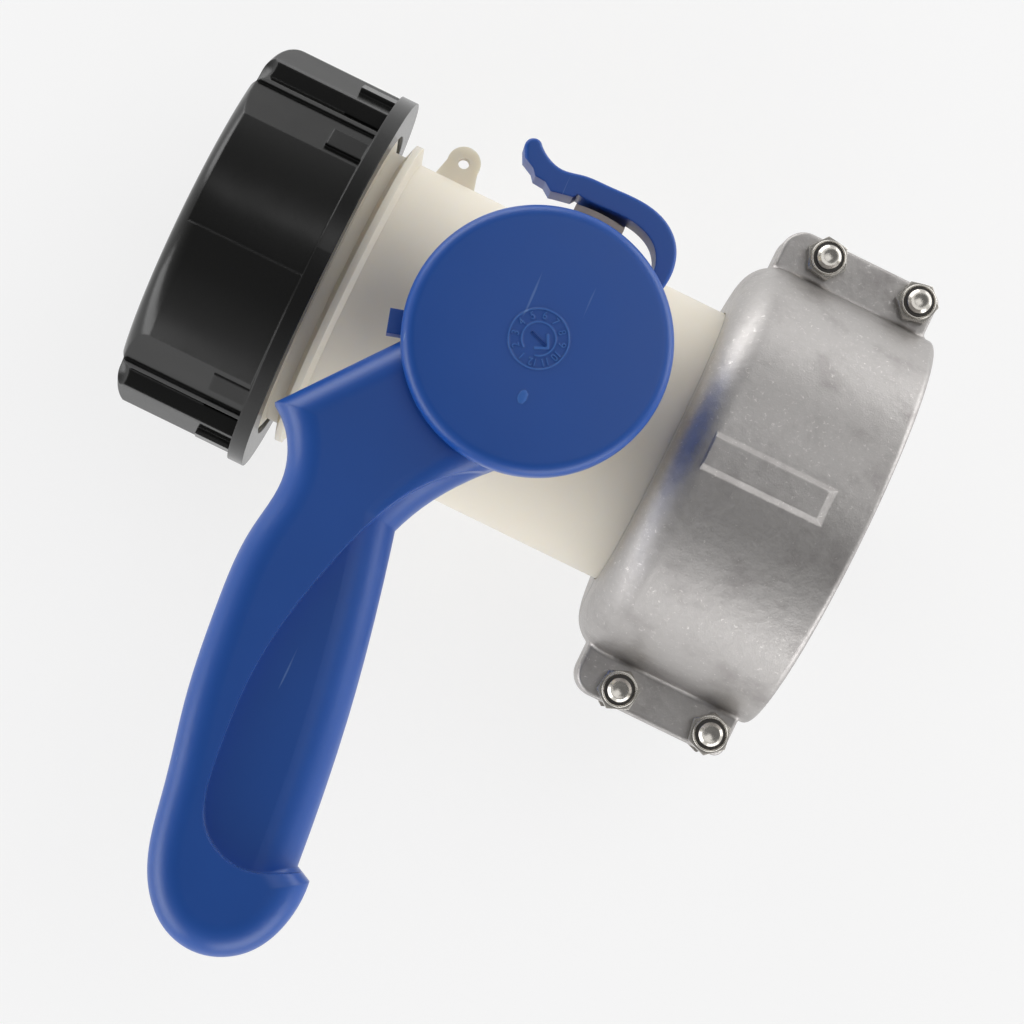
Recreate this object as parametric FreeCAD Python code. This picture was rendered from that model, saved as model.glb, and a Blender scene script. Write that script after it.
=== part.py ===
"""Butterfly outlet valve of an intermediate bulk container, one solid per real piece.

Row frame, millimetres: +X runs along the flow axis from the tank to the outlet, +Z runs up the
stem, +Y points to the grip of the closed handle.  The origin is the centre of the clamp's mouth.
"""
import FreeCAD, Part
import math
import os

# ---- flow axis -------------------------------------------------------------------------------
TUBE_OD = 62.0            # body tube, outside
BORE_D = 50.0             # body tube, inside
STEM_X = 75.0             # stem axis, from the clamp's mouth
OUTLET_REACH = 67.0       # stem axis to the body's outlet rim
RUNNING = 0.05            # radial clearance of a shaft in its bush
SLIDING = 0.3             # clearance between pieces that pass each other
SNUG = 0.02               # radial clearance of pieces that stay together

# ---- tank flange and clamp -------------------------------------------------------------------
CLAMP_OD = 89.5
CLAMP_LENGTH = 42.0
CLAMP_WALL = 4.5
CLAMP_TURN = -3.0         # degrees about the flow axis at which the clamp is bolted on
LIP_BORE_D = 68.0         # mouth of the clamp, round the tank's neck
LIP_THICK = 5.0
MOUTH_ROUND = 1.2
SHOULDER_ROUND = 8.0      # rounded corner between band and outlet-side wall
SHOULDER_WALL = 8.3
SPLIT_GAP = 0.6           # between the two clamp halves
FLANGE_THICK = 10.0       # valve body's flange
GASKET_THICK = 3.0
GASKET_LAND = 0.6         # gasket bore over the body's bore, radial

BOLT_OFFSET = 5.25        # band's outside to the bolt's axis
EAR_MARGIN = 3.75         # bolt's axis to the ear's outer side
BOLT_SPAN = CLAMP_OD + 2 * BOLT_OFFSET
EAR_SPAN = BOLT_SPAN + 2 * EAR_MARGIN
EAR_START = 2.5           # from the mouth
EAR_LENGTH = 35.0
EAR_THICK = 6.5
EAR_ROUND_MOUTH = 2.2
EAR_ROUND_OUTLET = 5.0
EAR_RIM_ROUND = 0.9       # along the ear's free edges
EAR_ROOT_ROUND = 1.0      # where the ear meets the band
BOLT_PITCH = 21.0         # along the flow axis
BOLT_MARGIN = 7.0         # mouth to the first bolt row
BOLT_D = 5.0
BOLT_HOLE_D = 5.5
BOLT_HEAD_AF = 8.0
BOLT_HEAD_THICK = 3.5
BOLT_PROUD = 1.4          # bolt end above its nut
BOLT_TIP = 0.6            # chamfer on the bolt end
NUT_AF = 8.0
NUT_HEIGHT = 5.0
NUT_HEX_HEIGHT = 3.3
NUT_COLLAR_D = 7.3
INSERT_D = 6.3
INSERT_HEIGHT = 1.1
INSERT_DEPTH = 0.3        # collar edge down to the insert

PAD_START = 5.7
PAD_LENGTH = 29.5
PAD_WIDTH = 7.8
PAD_TOP_WIDTH = 5.8
PAD_RISE = 1.2
PAD_END_SLOPE = 1.6

# ---- outlet thread and eyelet ----------------------------------------------------------------
THREAD_D = 68.6           # over the crests
THREAD_PITCH = 6.0
THREAD_LENGTH = 27.5
THREAD_CREST = 1.4
THREAD_FOOT = 3.4
OUTLET_CHAMFER = 1.2
EYELET_X = 30.2           # from the stem axis
EYELET_OFFSET = 4.6       # hole centre outside the tube wall
EYELET_R = 3.6
EYELET_HOLE_D = 2.4
EYELET_THICK = 3.0
EYELET_FOOT = 9.6

# ---- stem, neck and butterfly ----------------------------------------------------------------
NECK_D = 32.0
NECK_TOP = 38.0
NECK_FLANGE_D = 44.0
NECK_FLANGE_THICK = 4.0
STEM_D = 15.0             # through the neck
STEM_MID_D = 12.0         # through the butterfly
STEM_FOOT_D = 10.0        # in the lower bush
STEM_SQUARE = 10.5        # across flats of the drive end
STEM_SEAL_BORE_D = 16.0
UPPER_BUSH_D = 20.0
UPPER_BUSH_LENGTH = 5.0
LOWER_BUSH_D = 14.0
LOWER_BUSH_LENGTH = 8.0
LOWER_BOSS_D = 22.0
LOWER_BOSS_FLOOR = 3.0
ORING_SECTION_D = 1.9
ORING_ROOM = 0.25         # groove beside the O-ring, each side
ORING_LEVELS = (27.6, 31.0)
BUTTERFLY_GAP = 0.5       # rim to bore, radial
BUTTERFLY_D = BORE_D - 2 * BUTTERFLY_GAP
BUTTERFLY_THICK = 5.0
BUTTERFLY_HUB_D = 17.0
BUTTERFLY_RIB_LEVELS = (-15.0, -7.5, 7.5, 15.0)
BUTTERFLY_RIB_THICK = 2.0
BUTTERFLY_RIB_RISE = 2.2
RIM_SEAL_WIDTH = 2.6
RIM_SEAL_DEPTH = 1.9
RIM_SEAL_PROUD = 0.22
CROSS_PIN_PROUD = 0.6
CROSS_PIN_D = 3.0
CROSS_PIN_LEVELS = (-13.0, 13.0)

# ---- handle ----------------------------------------------------------------------------------
HANDLE_UNDER = 43.3       # underside of the lever, clear of the cap
HANDLE_TOP = 56.5
GRIP_STEP = 3.4           # finger side lies this much below the top
OUTER_ROUND = 6.5         # along the outer side of arm and grip
FINGER_ROUND = 8.0        # along the finger side
HANDLE_WALL = 2.8
HANDLE_SKIN = 3.0         # thickness over the hollow underside
RIB_THICK = 2.0
RIB_PITCH = 15.0
HUB_D = 36.0
HUB_FOOT_D = 40.0
RECESS_D = 24.0
RECESS_FLOOR = 50.5
COVER_D = 52.8
COVER_THICK = 5.2
COVER_ROUND = 2.6
COVER_GAP = 0.3
COVER_PLUG_DEPTH = 3.2
COVER_PLUG_WALL = 1.8
SCREW_D = 5.0
SCREW_HEAD_D = 9.0
SCREW_HEAD_THICK = 3.0
SCREW_LENGTH = 16.0
WASHER_D = 16.0
WASHER_THICK = 1.4

# ---- lever from above, points from the stem axis ---------------------------------------------
LEVER_ROOT = (15.8, 0.0)
LEVER_HEEL = (-8.0, 20.5)
KNEE = (40.6, 32.2)
TOE = (-6.2, 112.4)
GRIP_END = (-2.9, 110.8)
FINGER_NOTCH = (8.7, 44.0)
GRIP_BACK = ((35.4, 37.4), (32.8, 44.5), (33.8, 56.0), (33.4, 72.0), (30.8, 91.0), (27.0, 108.0),
             (22.4, 124.5), (14.6, 132.5), (7.0, 133.8), (-1.6, 129.4), (-5.8, 121.0))
GRIP_FRONT = ((-1.4, 97.0), (1.2, 79.0), (4.6, 61.5))
ARM_FRONT = ((4.4, 34.8), (-1.4, 27.0))
RIDGE_START = (-14.0, 25.0)
RIDGE_FOOT = (-3.6, 111.6)
RIDGE_END = (-12.0, 108.5)
RIDGE = ((-0.8, 27.0), (9.8, 37.6), (16.8, 55.0), (21.2, 79.0), (20.2, 99.0), (15.4, 112.4), (7.2, 115.6))
SPINE_START = (21.0, 20.0)
SPINE_END = (16.5, 130.0)

# ---- latch, keeper and stops -----------------------------------------------------------------
LATCH_PIVOT = (-14.6, -16.8)   # from the stem axis
LATCH_PIN_D = 3.0
LATCH_BOSS_D = 6.4
LATCH_UNDER = 47.0
LATCH_TOP = 55.2
LATCH_ROUND = 0.8
LATCH_ROOT = (-15.0, -14.6)
LATCH_THUMB = (16.2, -36.0)
LATCH_THUMB_SIDE = (18.3, -36.0)
LATCH_HOOK = (5.5, -29.9)
LATCH_BACK = ((-17.6, -21.0), (-17.7, -25.4), (-15.8, -30.0), (-11.6, -33.2), (-5.0, -34.4), (1.0, -34.2),
              (6.0, -33.9), (10.4, -33.1), (13.8, -34.1))
LATCH_TEETH = ((18.9, -33.9), (17.9, -31.9), (15.5, -30.7), (14.5, -29.5), (12.2, -29.3), (10.5, -28.1),
               (9.2, -28.4), (6.1, -29.0))
LATCH_FRONT = ((-1.5, -29.9), (-8.6, -29.4), (-12.2, -27.4), (-14.1, -24.2), (-13.2, -18.0))
SHELF_D = 8.4
SHELF_THICK = 3.4
PIN_SEAT_DEPTH = 3.0
KEEPER_R = 28.9
KEEPER_INNER_R = 26.6
KEEPER_WIDTH = 10.6
KEEPER_SHIFT = -0.4       # keeper centre, along the flow from the stem axis
KEEPER_TOP = 53.0
KEEPER_FOOT_TOP = 46.2
KEEPER_FOOT_THICK = 2.4
KEEPER_FOOT_REACH = 31.4
POST_INNER_R = 23.6
STOP_TAB_WIDTH = 4.9
STOP_TAB_REACH = 29.0
STOP_TAB_UNDER = 47.6
STOP_TAB_TOP = 52.6
CLOSED_STOP_WIDTH = 4.2
CLOSED_STOP_REACH = 25.6

# ---- cap -------------------------------------------------------------------------------------
CAP_START = 44.0          # open rim of the cap, from the stem axis
CAP_FLANGE_D = 84.4
CAP_FLANGE_THICK = 3.4
CAP_BORE_CLEARANCE = 0.35
CAP_GASKET_THICK = 3.0
CAP_FACE_THICK = 5.0
CAP_LOBE_D = 83.0
CAP_VALLEY_D = 74.0
CAP_LOBES = 3
CAP_LOBE_TURN = 8.7       # degrees of the first lobe's centre from straight up
CAP_LOBE_FLAT = 36.0      # half angle of the lobe's outer face
CAP_RIM_D = 80.2          # over the thin rims beside the grooves
CAP_RIM_RISE = 0.6        # rim above the lobe's sloping flank
CAP_RIM_START = 52.0      # half angle at which the rim begins
CAP_RIM_END = 54.0
CAP_GROOVE_START = 56.0   # half angle at the foot of the groove's wall
CAP_ROUND = 5.0
CAP_MARK_STEP = 0.7       # step at the lobe's centre line
CAP_BLOCK_LENGTH = 8.0
CAP_BLOCK_ANGLE = 6.5
CAP_BLOCK_TURN = 42.0
CAP_BLOCK_TOP_D = 82.2
CAP_SLOT_TURN = 56.6      # centre of the narrow slots, from the lobe's centre
CAP_SLOT_WIDTH = 0.8
CAP_SLOT_LENGTH = 8.5
CAP_SLOT_DEPTH = 1.4
CAP_FLARE_R = 7.0         # ball that widens each groove at the cap's face
CAP_FLARE_LIFT = 4.0      # its centre above the groove's floor
CAP_FLARE_AHEAD = 3.0     # and in front of the face
CAP_GASKET_MARGIN = 1.5   # gasket past the body's rim
CAP_GASKET_LAND = 1.0     # gasket bore over the body's bore, radial

# ---- derived places --------------------------------------------------------------------------
TUBE_R = TUBE_OD / 2
BORE_R = BORE_D / 2
CLAMP_R = CLAMP_OD / 2
GROOVE_R = CLAMP_R - CLAMP_WALL
FLANGE_R = GROOVE_R - SLIDING
SHOULDER_X = CLAMP_LENGTH - SHOULDER_WALL      # inner face of the clamp's outlet-side wall
FLANGE_FACE_X = SHOULDER_X - FLANGE_THICK
GASKET_FACE_X = FLANGE_FACE_X - GASKET_THICK
OUTLET_X = STEM_X + OUTLET_REACH
THREAD_R = THREAD_D / 2
SEAT_Z = SPLIT_GAP / 2 + EAR_THICK             # ear face that carries the nut
BOLT_XS = (BOLT_MARGIN, BOLT_MARGIN + BOLT_PITCH)
BOLT_YS = (-BOLT_SPAN / 2, BOLT_SPAN / 2)
CAP_X = STEM_X + CAP_START
CAP_SEAT_X = OUTLET_X + CAP_GASKET_THICK
CAP_FACE_X = CAP_SEAT_X + CAP_FACE_THICK
CAP_BORE_R = THREAD_R + CAP_BORE_CLEARANCE
STEP_Z = HANDLE_TOP - GRIP_STEP
COVER_UNDER = HANDLE_TOP + COVER_GAP
COVER_TOP = COVER_UNDER + COVER_THICK
LOWER_BORE_Z = -(BORE_R + LOWER_BUSH_LENGTH + 1.0)
KEEPER_X = STEM_X + KEEPER_SHIFT
SHELF_Z = HANDLE_UNDER + SHELF_THICK           # top of the shelf under the latch
PIN_SEAT_Z = SHELF_Z - PIN_SEAT_DEPTH

X_AXIS = FreeCAD.Vector(1, 0, 0)
Y_AXIS = FreeCAD.Vector(0, 1, 0)
Z_AXIS = FreeCAD.Vector(0, 0, 1)
OVER = 1.0                # how far a cutting tool runs past the face it cuts
INSET_SAG = 0.15          # how far the hollow's straight walls may leave the smooth inset line


def vec(x, y, z=0.0):
    return FreeCAD.Vector(x, y, z)


def stem_vec(x, y, z=0.0):
    """A point given from the stem axis."""
    return FreeCAD.Vector(STEM_X + x, y, z)


def rod_x(radius, x_from, x_to):
    """Round bar on the flow axis."""
    return Part.makeCylinder(radius, x_to - x_from, vec(x_from, 0), X_AXIS)


def rod_z(radius, z_from, z_to, x=0.0, y=0.0):
    """Upright round bar, placed from the stem axis."""
    return Part.makeCylinder(radius, z_to - z_from, stem_vec(x, y, z_from), Z_AXIS)


def block(x_from, x_to, y_from, y_to, z_from, z_to):
    return Part.makeBox(x_to - x_from, y_to - y_from, z_to - z_from, vec(x_from, y_from, z_from))


def turned(outline):
    """Solid of revolution about the flow axis; outline is a list of (x, radius)."""
    points = [vec(x, r) for x, r in outline]
    face = Part.Face(Part.makePolygon(points + points[:1]))
    return face.revolve(vec(0, 0), X_AXIS, 360)


def prism(edges, z_from, z_to):
    """Upright prism over a closed run of edges drawn at height zero."""
    face = Part.Face(Part.Wire(edges))
    face.translate(vec(0, 0, z_from))
    return face.extrude(vec(0, 0, z_to - z_from))


def polygon_prism(points, z_from, z_to):
    """Upright prism over straight edges; points are given from the stem axis."""
    corners = [stem_vec(x, y) for x, y in points]
    return prism(Part.makePolygon(corners + corners[:1]).Edges, z_from, z_to)


def hexagon(across_flats, z_from, z_to, x, y):
    radius = across_flats / math.sqrt(3)
    corners = [vec(x + radius * math.cos(math.radians(60 * k)),
                   y + radius * math.sin(math.radians(60 * k))) for k in range(7)]
    return prism(Part.makePolygon(corners).Edges, z_from, z_to)


def level_edges(shape, z, keep=None):
    """Edges that lie wholly at one height, and pass the test on their middle point."""
    found = []
    for edge in shape.Edges:
        box = edge.BoundBox
        if abs(box.ZMin - z) > 1e-4 or abs(box.ZMax - z) > 1e-4:
            continue
        middle = edge.valueAt((edge.FirstParameter + edge.LastParameter) / 2)
        if keep is None or keep(middle):
            found.append(edge)
    return found


def spline(points):
    """Smooth edge through a few points given from the stem axis."""
    curve = Part.BSplineCurve()
    curve.interpolate([stem_vec(x, y) for x, y in points])
    return curve.toShape()


def line(start, end):
    return Part.LineSegment(stem_vec(*start), stem_vec(*end)).toShape()


def arc(start, middle, end):
    return Part.Arc(stem_vec(*start), stem_vec(*middle), stem_vec(*end)).toShape()


def clamp_turned(shape):
    """Turn a clamp piece about the flow axis to the angle at which it is bolted."""
    shape.rotate(vec(0, 0), X_AXIS, CLAMP_TURN)
    return shape


# ---- body ------------------------------------------------------------------------------------
def thread_ridge(x):
    """One ridge of the coarse outlet thread, as a ring."""
    root = TUBE_R - OVER
    return turned([(x - THREAD_FOOT / 2, root), (x - THREAD_FOOT / 2, TUBE_R),
                   (x - THREAD_CREST / 2, THREAD_R), (x + THREAD_CREST / 2, THREAD_R),
                   (x + THREAD_FOOT / 2, TUBE_R), (x + THREAD_FOOT / 2, root)])


def eyelet():
    """Ear with a small hole beside the tube, for the wire of a seal."""
    y = -(TUBE_R + EYELET_OFFSET)
    half = EYELET_FOOT / 2
    flank = EYELET_R * 0.94
    sides = [line((EYELET_X - flank, y), (EYELET_X - half, -TUBE_R + OVER)),
             line((EYELET_X - half, -TUBE_R + OVER), (EYELET_X + half, -TUBE_R + OVER)),
             line((EYELET_X + half, -TUBE_R + OVER), (EYELET_X + flank, y)),
             line((EYELET_X + flank, y), (EYELET_X - flank, y))]
    tab = prism(sides, -EYELET_THICK / 2, EYELET_THICK / 2)
    return tab.fuse(rod_z(EYELET_R, -EYELET_THICK / 2, EYELET_THICK / 2, EYELET_X, y))


def eyelet_hole():
    y = -(TUBE_R + EYELET_OFFSET)
    return rod_z(EYELET_HOLE_D / 2, -EYELET_THICK, EYELET_THICK, EYELET_X, y)


def keeper_post():
    """Bracket on the neck flange that carries the latch keeper."""
    half = KEEPER_WIDTH / 2
    arm = block(KEEPER_X - half, KEEPER_X + half, -KEEPER_FOOT_REACH, 0,
                NECK_TOP - NECK_FLANGE_THICK, NECK_TOP)
    post = block(KEEPER_X - half, KEEPER_X + half, -KEEPER_FOOT_REACH, -POST_INNER_R,
                 NECK_TOP - NECK_FLANGE_THICK, KEEPER_FOOT_TOP - KEEPER_FOOT_THICK)
    return arm.fuse(post)


def valve_body():
    shell = rod_x(FLANGE_R, FLANGE_FACE_X, SHOULDER_X)
    rim = TUBE_R - OUTLET_CHAMFER
    tube = turned([(FLANGE_FACE_X, 0), (FLANGE_FACE_X, TUBE_R), (OUTLET_X - OUTLET_CHAMFER, TUBE_R),
                   (OUTLET_X, rim), (OUTLET_X, 0)])
    neck = rod_z(NECK_D / 2, 0, NECK_TOP)
    neck_flange = rod_z(NECK_FLANGE_D / 2, NECK_TOP - NECK_FLANGE_THICK, NECK_TOP)
    boss = rod_z(LOWER_BOSS_D / 2, LOWER_BORE_Z - LOWER_BOSS_FLOOR, 0)
    ridges = [thread_ridge(OUTLET_X - THREAD_FOOT - THREAD_PITCH * k)
              for k in range(int(THREAD_LENGTH / THREAD_PITCH) + 1)]
    body = shell.multiFuse([tube, neck, neck_flange, boss, keeper_post(), eyelet()] + ridges)
    bush_seat = NECK_TOP - UPPER_BUSH_LENGTH
    cuts = [rod_x(BORE_R, FLANGE_FACE_X - OVER, OUTLET_X + OVER),
            rod_z(STEM_SEAL_BORE_D / 2, 0, bush_seat),
            rod_z(UPPER_BUSH_D / 2, bush_seat, NECK_TOP + OVER),
            rod_z(LOWER_BUSH_D / 2, LOWER_BORE_Z, 0), eyelet_hole()]
    return body.cut(cuts).removeSplitter()


def latch_keeper():
    """Bent metal keeper: an upright the latch hooks behind, on a foot over the bracket."""
    half = KEEPER_WIDTH / 2
    foot_under = KEEPER_FOOT_TOP - KEEPER_FOOT_THICK
    ring = rod_z(KEEPER_R, foot_under, KEEPER_TOP).cut(
        rod_z(KEEPER_INNER_R, foot_under - OVER, KEEPER_TOP + OVER))
    upright = ring.common(block(KEEPER_X - half, KEEPER_X + half, -KEEPER_FOOT_REACH, 0,
                                foot_under, KEEPER_TOP))
    foot = block(KEEPER_X - half, KEEPER_X + half, -KEEPER_FOOT_REACH, -POST_INNER_R,
                 foot_under, KEEPER_FOOT_TOP)
    return upright.fuse(foot).removeSplitter()


def flange_gasket():
    outer = rod_x(FLANGE_R, GASKET_FACE_X, FLANGE_FACE_X)
    return outer.cut(rod_x(BORE_R + GASKET_LAND, GASKET_FACE_X - OVER, FLANGE_FACE_X + OVER))


def upper_stem_bush():
    low = NECK_TOP - UPPER_BUSH_LENGTH
    return rod_z(UPPER_BUSH_D / 2, low, NECK_TOP).cut(
        rod_z(STEM_D / 2 + RUNNING, low - OVER, NECK_TOP + OVER))


def lower_stem_bush():
    high = -BORE_R
    low = high - LOWER_BUSH_LENGTH
    ring = rod_z(LOWER_BUSH_D / 2, low, high).cut(
        rod_z(STEM_FOOT_D / 2 + RUNNING, low - OVER, high + OVER))
    return ring.cut(rod_x(BORE_R, STEM_X - LOWER_BUSH_D, STEM_X + LOWER_BUSH_D))


# ---- clamp -----------------------------------------------------------------------------------
def clamp_ring():
    """Both halves of the band as one ring, with lip, groove and outlet-side wall."""
    corner_x = CLAMP_LENGTH - SHOULDER_ROUND
    corner_r = CLAMP_R - SHOULDER_ROUND
    lean = math.sqrt(0.5)
    profile = [Part.LineSegment(vec(0, LIP_BORE_D / 2), vec(0, CLAMP_R - MOUTH_ROUND)),
               Part.Arc(vec(0, CLAMP_R - MOUTH_ROUND),
                        vec(MOUTH_ROUND * (1 - lean), CLAMP_R - MOUTH_ROUND * (1 - lean)),
                        vec(MOUTH_ROUND, CLAMP_R)),
               Part.LineSegment(vec(MOUTH_ROUND, CLAMP_R), vec(corner_x, CLAMP_R)),
               Part.Arc(vec(corner_x, CLAMP_R),
                        vec(corner_x + SHOULDER_ROUND * lean, corner_r + SHOULDER_ROUND * lean),
                        vec(CLAMP_LENGTH, corner_r))]
    inner = [(CLAMP_LENGTH, corner_r), (CLAMP_LENGTH, TUBE_R + SLIDING),
             (SHOULDER_X, TUBE_R + SLIDING), (SHOULDER_X, GROOVE_R), (LIP_THICK, GROOVE_R),
             (LIP_THICK, LIP_BORE_D / 2), (0, LIP_BORE_D / 2)]
    edges = [part.toShape() for part in profile]
    edges += [Part.LineSegment(vec(*a), vec(*b)).toShape() for a, b in zip(inner, inner[1:])]
    return Part.Face(Part.Wire(edges)).revolve(vec(0, 0), X_AXIS, 360)


def ear(side, z_from, z_to):
    """Bolting ear on the +Y or -Y side, with its two outer corners rounded."""
    outer = EAR_SPAN / 2
    inner = GROOVE_R + CLAMP_WALL / 2
    plate = block(EAR_START, EAR_START + EAR_LENGTH, inner, outer, z_from, z_to)
    corners = {EAR_START: EAR_ROUND_MOUTH, EAR_START + EAR_LENGTH: EAR_ROUND_OUTLET}
    for x, radius in corners.items():
        edge = [e for e in plate.Edges if abs(e.BoundBox.XMin - x) + abs(e.BoundBox.XMax - x)
                + abs(e.BoundBox.YMin - outer) + abs(e.BoundBox.YMax - outer) < 1e-4]
        plate = plate.makeFillet(radius, edge)
    free = z_to if z_to > 0 else z_from
    plate = plate.makeFillet(EAR_RIM_ROUND, level_edges(plate, free, lambda point: point.y > inner + OVER))
    if side < 0:
        plate = plate.mirror(vec(0, 0), Y_AXIS)
    return plate


def raised_pad():
    """Bare raised pad on the band, bevelled on its sides and at the tank end."""
    base = CLAMP_R - CLAMP_WALL / 2
    top = CLAMP_R + PAD_RISE
    spread = (PAD_WIDTH - PAD_TOP_WIDTH) / 2 / PAD_RISE
    foot = PAD_TOP_WIDTH / 2 + (top - base) * spread
    start = [vec(PAD_START, -foot, base), vec(PAD_START, foot, base),
             vec(PAD_START, PAD_TOP_WIDTH / 2, top), vec(PAD_START, -PAD_TOP_WIDTH / 2, top)]
    bar = Part.Face(Part.makePolygon(start + start[:1])).extrude(vec(PAD_LENGTH, 0))
    slope = PAD_END_SLOPE / PAD_RISE * (top - base)
    wedge = [vec(PAD_START - OVER, -PAD_WIDTH, base), vec(PAD_START, -PAD_WIDTH, base),
             vec(PAD_START + slope, -PAD_WIDTH, top), vec(PAD_START + slope, -PAD_WIDTH, top + OVER),
             vec(PAD_START - OVER, -PAD_WIDTH, top + OVER)]
    tool = Part.Face(Part.makePolygon(wedge + wedge[:1])).extrude(vec(0, 2 * PAD_WIDTH))
    return bar.cut(tool)


def clamp_half(sign):
    """Upper (sign 1) or lower (sign -1) half of the clamp."""
    reach = EAR_SPAN
    z_near, z_far = SPLIT_GAP / 2, SPLIT_GAP / 2 + reach
    low, high = (z_near, z_far) if sign > 0 else (-z_far, -z_near)
    keep = block(-OVER, CLAMP_LENGTH + OVER, -reach, reach, low, high)
    half = clamp_ring().common(keep)
    ear_low, ear_high = (z_near, SEAT_Z) if sign > 0 else (-SEAT_Z, -z_near)
    ears = [ear(side, ear_low, ear_high) for side in (-1, 1)]
    if sign > 0:
        ears.append(raised_pad())
    half = half.multiFuse(ears)
    seat = sign * SEAT_Z
    half = half.makeFillet(EAR_ROOT_ROUND, level_edges(half, seat, lambda point: abs(point.y) < CLAMP_R))
    holes = [Part.makeCylinder(BOLT_HOLE_D / 2, 2 * reach, vec(x, y, -reach), Z_AXIS)
             for x in BOLT_XS for y in BOLT_YS]
    return clamp_turned(half.cut(holes).removeSplitter())


def clamp_bolt(x, y):
    nut_top = SEAT_Z + NUT_HEIGHT
    end = nut_top + BOLT_PROUD
    head = hexagon(BOLT_HEAD_AF, -SEAT_Z - BOLT_HEAD_THICK, -SEAT_Z, x, y)
    radius = BOLT_D / 2
    shank = Part.makeCylinder(radius, end - BOLT_TIP + SEAT_Z, vec(x, y, -SEAT_Z), Z_AXIS)
    tip = Part.makeCone(radius, radius - BOLT_TIP, BOLT_TIP, vec(x, y, end - BOLT_TIP), Z_AXIS)
    return head.multiFuse([shank, tip])


def lock_nut(x, y):
    """Hexagon nut with a round collar that holds a nylon ring."""
    hex_part = hexagon(NUT_AF, SEAT_Z, SEAT_Z + NUT_HEX_HEIGHT, x, y)
    collar = Part.makeCylinder(NUT_COLLAR_D / 2, NUT_HEIGHT, vec(x, y, SEAT_Z), Z_AXIS)
    nut = hex_part.fuse(collar)
    bore = Part.makeCylinder(BOLT_D / 2 + SNUG, NUT_HEIGHT + 2 * OVER, vec(x, y, SEAT_Z - OVER), Z_AXIS)
    low = SEAT_Z + NUT_HEIGHT - INSERT_DEPTH - INSERT_HEIGHT
    seat = Part.makeCylinder(INSERT_D / 2, INSERT_HEIGHT + INSERT_DEPTH + OVER, vec(x, y, low), Z_AXIS)
    return nut.cut([bore, seat])


def nut_insert(x, y):
    low = SEAT_Z + NUT_HEIGHT - INSERT_DEPTH - INSERT_HEIGHT
    ring = Part.makeCylinder(INSERT_D / 2 - SNUG, INSERT_HEIGHT, vec(x, y, low), Z_AXIS)
    bore = Part.makeCylinder(BOLT_D / 2 + SNUG, INSERT_HEIGHT + 2 * OVER, vec(x, y, low - OVER), Z_AXIS)
    return ring.cut(bore)


def at_each_bolt(make):
    """Four like pieces, one at each bolt, as separate solids."""
    return clamp_turned(Part.makeCompound([make(x, y) for x in BOLT_XS for y in BOLT_YS]))


# ---- stem and butterfly ----------------------------------------------------------------------
def stem():
    shoulder = BORE_R - SLIDING
    foot_end = -(BORE_R + LOWER_BUSH_LENGTH)
    top = RECESS_FLOOR - SLIDING / 2
    mid = rod_z(STEM_MID_D / 2, -BORE_R, shoulder)
    foot = rod_z(STEM_FOOT_D / 2, foot_end, -BORE_R)
    neck = rod_z(STEM_D / 2, shoulder, NECK_TOP + SLIDING)
    flat = STEM_SQUARE / 2
    drive = block(STEM_X - flat, STEM_X + flat, -flat, flat, NECK_TOP, top)
    drive = drive.common(rod_z(STEM_D / 2, NECK_TOP, top))
    shaft = mid.multiFuse([foot, neck, drive])
    grooves = [oring_groove(level) for level in ORING_LEVELS]
    pilot = rod_z(SCREW_D / 2, RECESS_FLOOR - SCREW_LENGTH, top + OVER)
    pins = [cross_pin(level, SNUG) for level in CROSS_PIN_LEVELS]
    return shaft.cut(grooves + [pilot] + pins).removeSplitter()


def oring(level):
    section = ORING_SECTION_D / 2
    centre = STEM_SEAL_BORE_D / 2 - RUNNING - section
    return Part.makeTorus(centre, section, stem_vec(0, 0, level), Z_AXIS)


def oring_groove(level):
    """Square-cut groove in the stem, with the O-ring on its floor."""
    half = ORING_SECTION_D / 2 + ORING_ROOM
    floor = STEM_SEAL_BORE_D / 2 - RUNNING - ORING_SECTION_D - SNUG
    return rod_z(STEM_D, level - half, level + half).cut(
        rod_z(floor, level - half - OVER, level + half + OVER))


def stem_orings():
    return Part.makeCompound([oring(level) for level in ORING_LEVELS])


def cross_pin(level, grow=0.0):
    half = BUTTERFLY_HUB_D / 2 + CROSS_PIN_PROUD
    return Part.makeCylinder(CROSS_PIN_D / 2 + grow, 2 * half, stem_vec(-half, 0, level), X_AXIS)


def butterfly_pins():
    return Part.makeCompound([cross_pin(level) for level in CROSS_PIN_LEVELS])


def butterfly_envelope(radius):
    """Ball in which the butterfly turns."""
    return Part.makeSphere(radius, stem_vec(0, 0, 0))


def butterfly_disc():
    half = BUTTERFLY_THICK / 2
    plate = rod_x(BUTTERFLY_D / 2, STEM_X - half, STEM_X + half)
    hub = rod_z(BUTTERFLY_HUB_D / 2, -BORE_R, BORE_R)
    ribs = [block(STEM_X - half - BUTTERFLY_RIB_RISE, STEM_X + half + BUTTERFLY_RIB_RISE,
                  -BUTTERFLY_D / 2, BUTTERFLY_D / 2,
                  z - BUTTERFLY_RIB_THICK / 2, z + BUTTERFLY_RIB_THICK / 2)
            for z in BUTTERFLY_RIB_LEVELS]
    body = plate.multiFuse([hub] + ribs).common(butterfly_envelope(BUTTERFLY_D / 2))
    cuts = [rod_z(STEM_MID_D / 2 + SNUG, -BORE_R, BORE_R), rim_ring(RIM_SEAL_DEPTH, OVER)]
    cuts += [cross_pin(level, SNUG) for level in CROSS_PIN_LEVELS]
    return body.cut(cuts).removeSplitter()


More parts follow.
